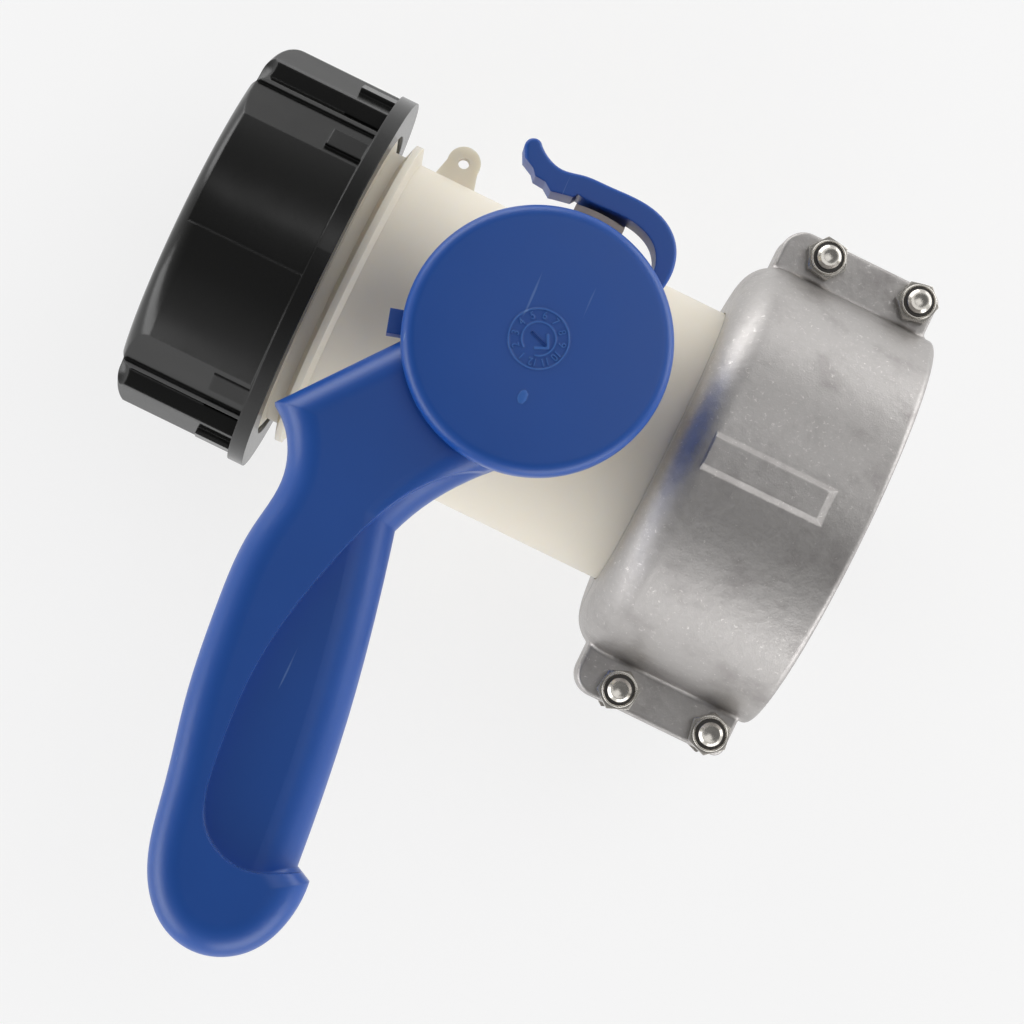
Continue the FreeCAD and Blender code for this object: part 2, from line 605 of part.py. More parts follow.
def rim_ring(depth, proud):
    """Ring round the butterfly's rim, left open where the hub passes."""
    half = RIM_SEAL_WIDTH / 2
    outer = rod_x(BUTTERFLY_D / 2 + proud, STEM_X - half, STEM_X + half)
    inner = rod_x(BUTTERFLY_D / 2 - depth, STEM_X - half - OVER, STEM_X + half + OVER)
    hub = rod_z(BUTTERFLY_HUB_D / 2, -BORE_D, BORE_D)
    return outer.cut([inner, hub])


def butterfly_seal():
    return rim_ring(RIM_SEAL_DEPTH, RIM_SEAL_PROUD)


# ---- handle ----------------------------------------------------------------------------------
def lever_outline():
    """Outline of the lever from above: arm, knee, grip, pommel and finger side."""
    return [line(LEVER_ROOT, KNEE), spline([KNEE, *GRIP_BACK, TOE]), line(TOE, GRIP_END),
            spline([GRIP_END, *GRIP_FRONT, FINGER_NOTCH]),
            spline([FINGER_NOTCH, *ARM_FRONT, LEVER_HEEL]), line(LEVER_HEEL, LEVER_ROOT)]


def finger_region():
    """Stretch of the lever that lies lower, between the ridge and the finger side."""
    far = -EAR_SPAN
    low, high = RIDGE_START[1], RIDGE_END[1]
    return [spline([RIDGE_START, *RIDGE, RIDGE_FOOT, RIDGE_END]), line(RIDGE_END, (far, high)),
            line((far, high), (far, low)), line((far, low), RIDGE_START)]


def lever_hollow():
    """Moulded-out underside of the lever, crossed by stiffening ribs."""
    inset = Part.Face(Part.Wire(lever_outline())).makeOffset2D(-HANDLE_WALL)
    corners = inset.OuterWire.discretize(QuasiDeflection=INSET_SAG)
    hollow = prism(Part.makePolygon(corners + corners[:1]).Edges, HANDLE_UNDER - OVER, STEP_Z - HANDLE_SKIN)
    solid_hub = rod_z(HUB_D / 2 + HANDLE_WALL, 0, HANDLE_TOP)
    ribs = [block(STEM_X - EAR_SPAN, STEM_X + EAR_SPAN, y - RIB_THICK / 2, y + RIB_THICK / 2,
                  0, HANDLE_TOP) for y in rib_places()]
    half = RIB_THICK / 2
    (near_x, near_y), (end_x, end_y) = SPINE_START, SPINE_END
    spine = polygon_prism([(near_x - half, near_y), (near_x + half, near_y),
                           (end_x + half, end_y), (end_x - half, end_y)], 0, HANDLE_TOP)
    return hollow.cut([solid_hub, spine] + ribs)


def rib_places():
    first = FINGER_NOTCH[1]
    count = int((TOE[1] - first) / RIB_PITCH) + 2
    return [first + RIB_PITCH * k for k in range(count)]


def lever():
    low = prism(lever_outline(), HANDLE_UNDER, STEP_Z)
    low = low.makeFillet(FINGER_ROUND, level_edges(low, STEP_Z))
    high = prism(lever_outline(), HANDLE_UNDER, HANDLE_TOP)
    high = high.makeFillet(OUTER_ROUND, level_edges(high, HANDLE_TOP))
    high = high.cut(prism(finger_region(), HANDLE_UNDER - OVER, HANDLE_TOP + OVER))
    return low.fuse(high)


def stop_tab():
    """Tab under the cover that meets the keeper's corner when the valve is a quarter turn open."""
    half = STOP_TAB_WIDTH / 2
    corner = KEEPER_SHIFT + KEEPER_WIDTH / 2
    angle = math.asin(corner / KEEPER_INNER_R) + math.asin((half + SLIDING) / KEEPER_INNER_R)
    tab = block(STEM_X, STEM_X + STOP_TAB_REACH, -half, half, STOP_TAB_UNDER, STOP_TAB_TOP)
    tab.rotate(stem_vec(0, 0), Z_AXIS, math.degrees(angle))
    return tab


def closed_stop():
    """Lug under the hub that rests beside the keeper's bracket when the valve is closed."""
    edge = KEEPER_SHIFT - KEEPER_WIDTH / 2 - SLIDING
    low = NECK_TOP + 2 * SLIDING
    return block(STEM_X + edge - CLOSED_STOP_WIDTH, STEM_X + edge, -CLOSED_STOP_REACH, 0,
                 low, SHELF_Z)


def handle_lever():
    hub = rod_z(HUB_D / 2, NECK_TOP + SLIDING, HANDLE_TOP)
    foot = rod_z(HUB_FOOT_D / 2, NECK_TOP + SLIDING, SHELF_Z)
    shelf = rod_z(SHELF_D / 2, HANDLE_UNDER, SHELF_Z, *LATCH_PIVOT)
    handle = lever().cut(lever_hollow()).multiFuse([hub, foot, shelf, stop_tab(), closed_stop()])
    flat = STEM_SQUARE / 2 + SNUG
    socket = block(STEM_X - flat, STEM_X + flat, -flat, flat, 0, RECESS_FLOOR + OVER)
    socket = socket.common(rod_z(STEM_D / 2 + SNUG, 0, RECESS_FLOOR + OVER))
    counterbore = rod_z(STEM_D / 2 + SLIDING, 0, NECK_TOP + 2 * SLIDING)
    recess = rod_z(RECESS_D / 2, RECESS_FLOOR, HANDLE_TOP + OVER)
    pin_seat = rod_z(LATCH_PIN_D / 2, PIN_SEAT_Z, LATCH_UNDER, *LATCH_PIVOT)
    latch_room = rod_z(LATCH_BOSS_D / 2 + SLIDING, SHELF_Z, HANDLE_TOP + OVER, *LATCH_PIVOT)
    return handle.cut([socket, counterbore, recess, pin_seat, latch_room]).removeSplitter()


def handle_cover():
    """Round cover over the hub, with a ring that plugs into the hub's recess."""
    disc = rod_z(COVER_D / 2, COVER_UNDER, COVER_TOP)
    disc = disc.makeFillet(COVER_ROUND, level_edges(disc, COVER_TOP))
    ring_r = RECESS_D / 2 - SNUG
    plug = rod_z(ring_r, COVER_UNDER - COVER_PLUG_DEPTH, COVER_UNDER).cut(
        rod_z(ring_r - COVER_PLUG_WALL, COVER_UNDER - COVER_PLUG_DEPTH - OVER, COVER_UNDER))
    return disc.fuse(plug).removeSplitter()


def hub_washer():
    return rod_z(WASHER_D / 2, RECESS_FLOOR, RECESS_FLOOR + WASHER_THICK).cut(
        rod_z(SCREW_D / 2 + SNUG, RECESS_FLOOR - OVER, RECESS_FLOOR + WASHER_THICK + OVER))


def hub_screw():
    seat = RECESS_FLOOR + WASHER_THICK
    head = rod_z(SCREW_HEAD_D / 2, seat, seat + SCREW_HEAD_THICK)
    drive = hexagon(SCREW_D * 0.8, seat + SCREW_HEAD_THICK / 2, seat + SCREW_HEAD_THICK + OVER, STEM_X, 0)
    shank = rod_z(SCREW_D / 2 - SNUG, RECESS_FLOOR - SCREW_LENGTH + OVER, seat)
    return head.cut(drive).fuse(shank)


def latch_pin():
    return rod_z(LATCH_PIN_D / 2, PIN_SEAT_Z, LATCH_TOP + SLIDING, *LATCH_PIVOT)


# ---- latch -----------------------------------------------------------------------------------
def latch_outline():
    """Curved spring arm from the pivot round to the thumb tip, with grip teeth and hook."""
    back = spline([LATCH_ROOT, *LATCH_BACK, LATCH_THUMB])
    tip = arc(LATCH_THUMB, LATCH_THUMB_SIDE, LATCH_TEETH[0])
    steps = [*LATCH_TEETH, LATCH_HOOK]
    teeth = [line(a, b) for a, b in zip(steps, steps[1:])]
    front = spline([LATCH_HOOK, *LATCH_FRONT])
    return [back, tip] + teeth + [front, line(LATCH_FRONT[-1], LATCH_ROOT)]


def latch_arm():
    arm = prism(latch_outline(), LATCH_UNDER, LATCH_TOP)
    arm = arm.makeFillet(LATCH_ROUND, level_edges(arm, LATCH_TOP, lambda point: point.y < LATCH_BACK[3][1]))
    boss = rod_z(LATCH_BOSS_D / 2, LATCH_UNDER, LATCH_TOP, *LATCH_PIVOT)
    bore = rod_z(LATCH_PIN_D / 2 + RUNNING, LATCH_UNDER - OVER, LATCH_TOP + OVER, *LATCH_PIVOT)
    return arm.fuse(boss).cut(bore).removeSplitter()


# ---- cap -------------------------------------------------------------------------------------
def polar(radius, angle):
    """Point on the cap's cross-section; the angle runs from +Z towards +Y."""
    turn = math.radians(angle)
    return vec(0, radius * math.sin(turn), radius * math.cos(turn))


def cap_edge(start, end):
    """Straight edge of the cap's section, between two (radius, angle) points."""
    return Part.LineSegment(polar(*start), polar(*end)).toShape()


def cap_arc(radius, start, end):
    """Round edge of the cap's section, about the flow axis."""
    return Part.Arc(polar(radius, start), polar(radius, (start + end) / 2), polar(radius, end)).toShape()


def lobe_flank(radius):
    """Corners from a lobe's outer face down to the groove, as (radius, angle from its centre)."""
    rim = CAP_RIM_D / 2
    return [(radius, CAP_LOBE_FLAT), (rim - CAP_RIM_RISE, CAP_RIM_START), (rim, CAP_RIM_START),
            (rim, CAP_RIM_END), (CAP_VALLEY_D / 2, CAP_GROOVE_START)]


def cap_section():
    """Cross-section of the grip: wide lobes, thin rims and narrow grooves."""
    step = 360 / CAP_LOBES
    lobe, valley = CAP_LOBE_D / 2, CAP_VALLEY_D / 2
    stepped = lobe - CAP_MARK_STEP
    edges = []
    for k in range(CAP_LOBES):
        centre = CAP_LOBE_TURN + step * k
        following = centre + step
        down = [(radius, centre + turn) for radius, turn in lobe_flank(lobe)]
        up = [(radius, following - turn) for radius, turn in reversed(lobe_flank(stepped))]
        edges += [cap_arc(lobe, centre, centre + CAP_LOBE_FLAT)]
        edges += [cap_edge(a, b) for a, b in zip(down, down[1:])]
        edges += [cap_arc(valley, down[-1][1], up[0][1])]
        edges += [cap_edge(a, b) for a, b in zip(up, up[1:])]
        edges += [cap_arc(stepped, up[-1][1], following), cap_edge((stepped, following), (lobe, following))]
    return Part.Face(Part.Wire(edges))


def cap_envelope():
    """Turned form that rounds the cap's outer end."""
    lobe = CAP_LOBE_D / 2 + 0.01
    lean = math.sqrt(0.5)
    corner_x, corner_r = CAP_FACE_X - CAP_ROUND, lobe - CAP_ROUND
    edges = [Part.LineSegment(vec(CAP_X, 0), vec(CAP_X, lobe)),
             Part.LineSegment(vec(CAP_X, lobe), vec(corner_x, lobe)),
             Part.Arc(vec(corner_x, lobe), vec(corner_x + CAP_ROUND * lean, corner_r + CAP_ROUND * lean),
                      vec(CAP_FACE_X, corner_r)),
             Part.LineSegment(vec(CAP_FACE_X, corner_r), vec(CAP_FACE_X, 0)),
             Part.LineSegment(vec(CAP_FACE_X, 0), vec(CAP_X, 0))]
    wire = Part.Wire([edge.toShape() for edge in edges])
    return Part.Face(wire).revolve(vec(0, 0), X_AXIS, 360)


def cap_block(angle):
    """Small block beside the flange, at the foot of a lobe's shoulder."""
    start = CAP_X + CAP_FLANGE_THICK - OVER
    width = 2 * math.radians(CAP_BLOCK_ANGLE / 2) * CAP_LOBE_D / 2
    bar = block(start, CAP_X + CAP_FLANGE_THICK + CAP_BLOCK_LENGTH, -width / 2, width / 2,
                CAP_BORE_R + OVER, CAP_BLOCK_TOP_D / 2)
    bar.rotate(vec(0, 0), X_AXIS, -angle)
    return bar


def cap_slot(angle):
    """Narrow slot in the groove's floor beside a rim, from the flange on."""
    start = CAP_X + CAP_FLANGE_THICK
    bar = block(start, start + CAP_SLOT_LENGTH, -CAP_SLOT_WIDTH / 2, CAP_SLOT_WIDTH / 2,
                CAP_VALLEY_D / 2 - CAP_SLOT_DEPTH, CAP_LOBE_D / 2)
    bar.rotate(vec(0, 0), X_AXIS, -angle)
    return bar


def cap_flare(angle):
    """Ball that widens a groove where it runs out at the cap's face."""
    centre = polar(CAP_VALLEY_D / 2 + CAP_FLARE_LIFT, angle)
    return Part.makeSphere(CAP_FLARE_R, centre + vec(CAP_FACE_X + CAP_FLARE_AHEAD, 0))


def outlet_cap():
    grip = cap_section()
    grip.translate(vec(CAP_X, 0))
    grip = grip.extrude(vec(CAP_FACE_X - CAP_X, 0)).common(cap_envelope())
    flange = rod_x(CAP_FLANGE_D / 2, CAP_X, CAP_X + CAP_FLANGE_THICK)
    turns = [CAP_LOBE_TURN + 360 / CAP_LOBES * k for k in range(CAP_LOBES)]
    blocks = [cap_block(turn + side * CAP_BLOCK_TURN) for turn in turns for side in (-1, 1)]
    slots = [cap_slot(turn + side * CAP_SLOT_TURN) for turn in turns for side in (-1, 1)]
    flares = [cap_flare(turn + 180 / CAP_LOBES) for turn in turns]
    bore = rod_x(CAP_BORE_R, CAP_X - OVER, CAP_SEAT_X)
    return grip.multiFuse([flange] + blocks).cut([bore] + slots + flares).removeSplitter()


def cap_gasket():
    outer = rod_x(TUBE_R + CAP_GASKET_MARGIN, OUTLET_X, CAP_SEAT_X)
    return outer.cut(rod_x(BORE_R + CAP_GASKET_LAND, OUTLET_X - OVER, CAP_SEAT_X + OVER))


PIECES = {
    "valve_body": valve_body,
    "latch_keeper": latch_keeper,
    "flange_gasket": flange_gasket,
    "upper_stem_bush": upper_stem_bush,
    "lower_stem_bush": lower_stem_bush,
    "clamp_half_upper": lambda: clamp_half(1),
    "clamp_half_lower": lambda: clamp_half(-1),
    "clamp_bolts": lambda: at_each_bolt(clamp_bolt),
    "clamp_nuts": lambda: at_each_bolt(lock_nut),
    "nut_inserts": lambda: at_each_bolt(nut_insert),
    "stem": stem,
    "stem_orings": stem_orings,
    "butterfly_disc": butterfly_disc,
    "butterfly_seal": butterfly_seal,
    "butterfly_pins": butterfly_pins,
    "handle_lever": handle_lever,
    "handle_cover": handle_cover,
    "hub_washer": hub_washer,
    "hub_screw": hub_screw,
    "latch_pin": latch_pin,
    "latch_arm": latch_arm,
    "cap_gasket": cap_gasket,
    "outlet_cap": outlet_cap,
}


def main():
    os.makedirs("parts", exist_ok=True)
    for name, make in PIECES.items():
        make().exportStep(os.path.join("parts", name + ".step"))


main()
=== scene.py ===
"""Butterfly outlet valve of an intermediate bulk container: finishes, small parts and a plain studio.

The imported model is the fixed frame.  Its pieces get procedural finishes, and the pieces that need
more form than the frame gives are modelled here with bmesh and ride on the frame's bodies.
"""

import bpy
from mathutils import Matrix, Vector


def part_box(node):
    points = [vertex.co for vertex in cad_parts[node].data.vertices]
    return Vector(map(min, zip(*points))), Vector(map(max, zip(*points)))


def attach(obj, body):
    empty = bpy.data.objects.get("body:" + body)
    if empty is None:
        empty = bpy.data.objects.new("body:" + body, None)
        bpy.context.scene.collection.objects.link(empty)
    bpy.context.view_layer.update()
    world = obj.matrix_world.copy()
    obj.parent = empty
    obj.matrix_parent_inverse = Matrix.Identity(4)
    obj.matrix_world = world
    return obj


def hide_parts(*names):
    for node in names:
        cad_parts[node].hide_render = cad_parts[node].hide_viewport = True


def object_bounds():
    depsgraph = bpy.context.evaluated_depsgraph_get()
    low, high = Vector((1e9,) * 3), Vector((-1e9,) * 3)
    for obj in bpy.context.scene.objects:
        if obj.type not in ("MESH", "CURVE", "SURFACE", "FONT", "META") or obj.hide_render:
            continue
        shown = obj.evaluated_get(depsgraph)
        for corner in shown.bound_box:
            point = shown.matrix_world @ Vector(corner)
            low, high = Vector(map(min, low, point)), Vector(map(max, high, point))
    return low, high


bl_info = {
    "name": "Tank outlet valve",
    "version": (1, 0, 0),
    "blender": (4, 5, 0),
    "location": "3D View > Sidebar > Valve",
    "description": "Dresses a bulk container's outlet valve and sets it in a plain studio",
    "category": "Object",
}

import math

import bmesh
import bpy
from bpy.props import FloatProperty, FloatVectorProperty, PointerProperty
from mathutils import Matrix, Vector, noise

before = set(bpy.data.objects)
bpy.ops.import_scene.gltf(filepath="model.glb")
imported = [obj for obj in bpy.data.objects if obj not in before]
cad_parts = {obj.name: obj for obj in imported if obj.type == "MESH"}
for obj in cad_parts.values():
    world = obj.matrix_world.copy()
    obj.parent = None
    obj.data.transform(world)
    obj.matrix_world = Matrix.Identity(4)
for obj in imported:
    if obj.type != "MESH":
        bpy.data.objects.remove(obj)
CAD_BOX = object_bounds()

MM = 0.001
FULL_TURN = 2 * math.pi
COVER_LOW, COVER_HIGH = (Vector(corner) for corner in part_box("handle_cover"))
STEM_X = (COVER_LOW.x + COVER_HIGH.x) / 2


def linear(hex_text):
    """Linear RGBA of an sRGB colour written as six hex digits."""
    channels = [int(hex_text[k:k + 2], 16) / 255 for k in (0, 2, 4)]
    return tuple(c / 12.92 if c <= 0.04045 else ((c + 0.055) / 1.055) ** 2.4
                 for c in channels) + (1.0,)


def colour_property(name, description, hex_text):
    return FloatVectorProperty(name=name, description=description, subtype="COLOR", size=4,
                               min=0.0, max=1.0, default=linear(hex_text))


class ValveFinish(bpy.types.PropertyGroup):
    """Colours of the valve's materials."""
    blue: colour_property("Handle", "Blue polypropylene of lever, cover and latch", "144C9E")
    rubbed: colour_property("Dial", "Blue of the raised, rubbed dial", "2F66B6")
    body: colour_property("Body", "Natural polyethylene of the valve body", "E0D9CA")
    cap: colour_property("Cap", "Black polypropylene of the screw cap", "0E0E0D")
    cast: colour_property("Clamp", "Die cast aluminium of the clamp", "B4B1AF")
    steel: colour_property("Fasteners", "Stainless steel of bolts and nuts", "C9C5BE")
    # The keeper's grey is painted shade: the shade under the latch arm and the disc, given to a steel
    # strip
    keeper: colour_property("Keeper", "Plain steel strip behind the latch", "8E8683")
    rubber: colour_property("Rubber", "Gaskets and O-rings", "161616")
    bush: colour_property("Bushes", "Acetal of the stem's bushes", "DAD7CC")
    stem: colour_property("Stem", "Glass-filled polypropylene of the stem", "222224")
    nylon: colour_property("Nut rings", "Nylon rings of the lock nuts", "4A4744")


def length_property(name, description, size_mm, largest_mm):
    return FloatProperty(name=name, description=description, default=size_mm * MM, min=0.05 * MM,
                         max=largest_mm * MM, unit="LENGTH", precision=5)


class CoverSizes(bpy.types.PropertyGroup):
    """Sizes of the round cover over the hub, with its date dial."""
    thickness: length_property("Disc", "Thickness of the disc over its plug ring", 5.2, 8)
    rim_round: length_property("Rim", "Rounding of the disc's upper edge", 2.6, 4)
    plug_radius: length_property("Plug ring", "Outer radius of the ring in the hub's recess", 11.98, 14)
    plug_wall: length_property("Plug wall", "Wall of that ring", 1.8, 4)
    dial_radius: length_property("Dial", "Outer radius of the mould's date dial", 6.0, 12)
    dial_inner: length_property("Dial arc", "Radius of the arc inside the numerals", 3.45, 6)
    dial_line: length_property("Dial line", "Width of the dial's raised lines", 0.28, 1)
    dial_rise: length_property("Dial relief", "Height of the dial over the cover", 0.16, 1)
    numeral_size: length_property("Numerals", "Height of the dial's numerals", 1.75, 4)


class FastenerSizes(bpy.types.PropertyGroup):
    """Sizes of the clamp's M5 bolts and lock nuts."""
    bolt_span: length_property("Bolt span", "Between the two rows of bolts, across the flow", 100, 150)
    bolt_pitch: length_property("Bolt pitch", "Between two bolts of a row", 21, 50)
    seat: length_property("Ear face", "Height of the ears' outer faces over the clamp's split", 6.8, 20)
    across_flats: length_property("Across flats", "Spanner size of nuts and heads", 8, 12)
    nut_height: length_property("Nut", "Height of a lock nut with its collar", 5, 8)
    hex_height: length_property("Nut hexagon", "Height of the nut's hexagon", 3.3, 6)
    collar_radius: length_property("Collar", "Radius of the nut's round collar", 3.65, 5)
    ring_radius: length_property("Ring", "Radius of the nylon ring in the collar", 3.15, 4)
    head_height: length_property("Head", "Height of a bolt's head", 3.5, 6)
    thread_radius: length_property("Thread", "Radius over the bolt's thread", 2.5, 4)
    thread_pitch: length_property("Thread pitch", "Pitch of the bolt's thread", 0.8, 2)
    tip_over_nut: length_property("Tip", "Bolt end over its nut", 1.4, 5)


class StudioLight(bpy.types.PropertyGroup):
    """Strength of the studio's lamps."""
    horizon: FloatProperty(name="Horizon", description="Strength of the light from all sides",
                           default=0.80, min=0.0, max=3.0)
    zenith: FloatProperty(name="Zenith", description="Strength of the light from straight above",
                          default=0.20, min=0.0, max=3.0)
    top: FloatProperty(name="Top lamp", description="Power of the overhead softbox in watts",
                       default=1.6, min=0.0, max=200.0)
    side: FloatProperty(name="Side lamps", description="Power of each upright softbox in watts",
                        default=3.0, min=0.0, max=200.0)


# ---- materials -------------------------------------------------------------------------------
def add(tree, kind, inputs=None, **settings):
    """Add one node, with its settings and its inputs, which are values or sockets to link."""
    node = tree.nodes.new(kind)
    for name, value in settings.items():
        setattr(node, name, value)
    for name, value in (inputs or {}).items():
        if isinstance(value, bpy.types.NodeSocket):
            tree.links.new(value, node.inputs[name])
        else:
            node.inputs[name].default_value = value
    return node


def new_material(name):
    material = bpy.data.materials.new(name)
    material.use_nodes = True
    material.node_tree.nodes.clear()
    return material, material.node_tree


def finish_material(tree, shader):
    out = add(tree, "ShaderNodeOutputMaterial")
    tree.links.new(shader.outputs[0], out.inputs["Surface"])


def per_metre(size_mm):
    """Texture scale that gives features of this size, in millimetres."""
    return 1.0 / (size_mm * MM)


def on_piece(tree):
    """Coordinates fixed to the piece."""
    return add(tree, "ShaderNodeTexCoord").outputs["Object"]


def mottle(tree, place, size_mm, detail, **more):
    """Noise with features of this size, in millimetres."""
    inputs = {"Vector": place, "Scale": per_metre(size_mm), "Detail": detail, **more}
    return add(tree, "ShaderNodeTexNoise", inputs).outputs["Fac"]


def ranged(tree, value, to_low, to_high, from_low=0.0, from_high=1.0):
    """Spread a value from one range over another."""
    inputs = {"Value": value, "From Min": from_low, "From Max": from_high,
              "To Min": to_low, "To Max": to_high}
    return add(tree, "ShaderNodeMapRange", inputs).outputs[0]


def toned(tree, colour, factor):
    """A colour made darker or lighter."""
    return add(tree, "ShaderNodeHueSaturation", {"Color": colour, "Value": factor}).outputs[0]


def blend(tree, share, first, second):
    """Mix of two colours."""
    inputs = {"Factor": share, "A": first, "B": second}
    return add(tree, "ShaderNodeMix", inputs, data_type="RGBA").outputs["Result"]


def soft_edge(tree, radius_mm):
    """Normals that round the sharp edges a little, as a mould or a tumbling drum leaves them."""
    return add(tree, "ShaderNodeBevel", {"Radius": radius_mm * MM}, samples=4).outputs[0]


def relief(tree, height, strength, depth_mm, **more):
    """Normals of a fine relief, of this depth in millimetres."""
    inputs = {"Height": height, "Strength": strength, "Distance": depth_mm * MM, **more}
    return add(tree, "ShaderNodeBump", inputs).outputs[0]


def surface(tree, **inputs):
    """End a material with one principled shader; an underscore stands for a space in a name."""
    named = {name.replace("_", " "): value for name, value in inputs.items()}
    finish_material(tree, add(tree, "ShaderNodeBsdfPrincipled", named))


def moulded_polypropylene(name, colour, roughness=0.36):
    """Injection-moulded polypropylene, satin, a little translucent, with pale handling scratches."""
    material, tree = new_material(name)
    place = on_piece(tree)
    cloud = mottle(tree, place, 18, 2.0)
    grain = mottle(tree, place, 0.5, 3.0)
    slant = add(tree, "ShaderNodeMapping", {"Vector": place, "Rotation": (0.0, 0.0, 0.9),
                                            "Scale": (1.0, 0.06, 1.0)}).outputs[0]
    scratch = ranged(tree, mottle(tree, slant, 1.4, 1.0), 0.0, 0.3, 0.775, 0.81)
    tone = toned(tree, colour, ranged(tree, cloud, 0.94, 1.06))
    surface(tree, Base_Color=blend(tree, scratch, tone, linear("8FB0DC")),
            Roughness=ranged(tree, cloud, roughness - 0.05, roughness + 0.07), IOR=1.49,
            Subsurface_Weight=0.12, Subsurface_Radius=(0.4, 0.7, 1.0), Subsurface_Scale=1.2 * MM,
            Normal=relief(tree, grain, 0.12, 0.05, Normal=soft_edge(tree, 0.5)))
    return material


def natural_polyethylene(name, colour):
    """Natural high-density polyethylene: milky, light goes a few millimetres in, waxy gloss."""
    material, tree = new_material(name)
    place = on_piece(tree)
    cloud = mottle(tree, place, 25, 2.0)
    orange_peel = mottle(tree, place, 1.6, 2.0)
    surface(tree, Base_Color=toned(tree, colour, ranged(tree, cloud, 0.97, 1.02)),
            Roughness=0.42, IOR=1.54, Subsurface_Weight=0.45,
            Subsurface_Radius=(1.0, 0.85, 0.6), Subsurface_Scale=3.5 * MM,
            Normal=relief(tree, orange_peel, 0.1, 0.06))
    return material


def black_polypropylene(name, colour):
    """Black polypropylene from a polished mould: glossy, with slow waves where the walls sank."""
    material, tree = new_material(name)
    place = on_piece(tree)
    sink = mottle(tree, place, 14, 1.0)
    dust = mottle(tree, place, 0.35, 2.0)
    surface(tree, Base_Color=colour, Roughness=ranged(tree, dust, 0.16, 0.30), IOR=1.49,
            Normal=relief(tree, sink, 0.3, 0.6, Normal=soft_edge(tree, 0.5)))
    return material


def die_cast_aluminium(name, colour):
    """Die cast aluminium, tumbled: dull grey skin, fine grain, bright nicks and dark stains."""
    material, tree = new_material(name)
    place = on_piece(tree)
    cloud = mottle(tree, place, 9, 4.0, Roughness=0.6)
    grain = mottle(tree, place, 0.45, 4.0, Roughness=0.65)
    flecks = mottle(tree, place, 0.9, 5.0, Roughness=0.75, Distortion=0.8)
    nicks = add(tree, "ShaderNodeTexVoronoi", {"Vector": place, "Scale": per_metre(2.2),
                                               "Randomness": 1.0}, feature="F1")
    bright = ranged(tree, flecks, 0.0, 1.0, 0.60, 0.70)
    dark = ranged(tree, cloud, 0.0, 0.5, 0.52, 0.72)
    stained = blend(tree, dark, colour, linear("8F8A89"))
    height = add(tree, "ShaderNodeMath", {0: grain, 1: nicks.outputs["Distance"]},
                 operation="ADD").outputs[0]
    surface(tree, Base_Color=blend(tree, bright, stained, linear("DEDBD8")), Metallic=1.0,
            Roughness=ranged(tree, flecks, 0.56, 0.38, 0.3, 0.7),
            Normal=relief(tree, height, 0.35, 0.12, Normal=soft_edge(tree, 0.6)))
    return material


def formed_steel(name, colour, roughness=0.24):
    """Cold-formed steel with a drawn, slightly scuffed skin."""
    material, tree = new_material(name)
    scuff = mottle(tree, on_piece(tree), 0.8, 4.0)
    surface(tree, Base_Color=colour, Metallic=1.0,
            Roughness=ranged(tree, scuff, roughness - 0.08, roughness + 0.1),
            Normal=relief(tree, scuff, 0.15, 0.05))
    return material


def matt_polymer(name, colour, roughness=0.6, grain_mm=0.4):
    """Rubber or engineering plastic with a fine even matt skin."""
    material, tree = new_material(name)
    grain = mottle(tree, on_piece(tree), grain_mm, 3.0)
    surface(tree, Base_Color=colour,
            Roughness=ranged(tree, grain, roughness - 0.08, roughness + 0.08),
            Normal=relief(tree, grain, 0.2, 0.05))
    return material


def dress(material, *nodes):
    """Give frame pieces their finish."""
    for name in nodes:
        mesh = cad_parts[name].data
        mesh.materials.clear()
        mesh.materials.append(material)


# ---- mesh helpers ----------------------------------------------------------------------------
def spun(form, profile, centre=(0.0, 0.0, 0.0), steps=96, turn_from=0.0, sweep=FULL_TURN):
    """Spin a profile of (radius, height) points about an upright axis into a closed form."""
    start = Matrix.Rotation(turn_from, 4, "Z")
    centre = Vector(centre)
    line = [form.verts.new(centre + start @ Vector((radius, 0.0, height)))
            for radius, height in profile]
    turned = line + [form.edges.new(pair) for pair in zip(line, line[1:])]
    whole = sweep >= FULL_TURN
    if not whole:
        form.edges.new((line[-1], line[0]))
        turned = [form.faces.new(line)]
    bmesh.ops.spin(form, geom=turned, cent=centre, axis=(0, 0, 1), angle=sweep, steps=steps,
                   use_merge=whole)


def cleaned(form, gap=0.001 * MM):
    """Close poles and seams, and turn all faces outwards."""
    bmesh.ops.remove_doubles(form, verts=form.verts, dist=gap)
    bmesh.ops.dissolve_degenerate(form, edges=form.edges, dist=gap)
    bmesh.ops.recalc_face_normals(form, faces=form.faces)
    return form


def rounded(form, offset, segments, keep):
    """Bevel the edges that pass the test."""
    edges = [edge for edge in form.edges if keep(edge)]
    bmesh.ops.bevel(form, geom=edges, offset=offset, offset_type="OFFSET", affect="EDGES",
                    segments=segments, profile=0.5, material=-1)


def meet(form, other, operation):
    """Join, cut or intersect two closed forms and return the result."""
    pieces = []
    for part in (form, other):
        mesh = bpy.data.meshes.new("working")
        part.to_mesh(mesh)
        part.free()
        piece = bpy.data.objects.new("working", mesh)
        bpy.context.collection.objects.link(piece)
        pieces.append(piece)
    tool = pieces[0].modifiers.new("meet", "BOOLEAN")
    tool.operation = operation
    tool.solver = "EXACT"
    tool.object = pieces[1]
    shown = pieces[0].evaluated_get(bpy.context.evaluated_depsgraph_get())
    result = bmesh.new()
    result.from_mesh(shown.data)
    for piece in pieces:
        mesh = piece.data
        bpy.data.objects.remove(piece)
        bpy.data.meshes.remove(mesh)
    return result


def pour(form, into, place=Matrix.Identity(4)):
    """Add a copy of one form to another at a place."""
    mesh = bpy.data.meshes.new("working")
    form.to_mesh(mesh)
    mesh.transform(place)
    into.from_mesh(mesh)
    bpy.data.meshes.remove(mesh)


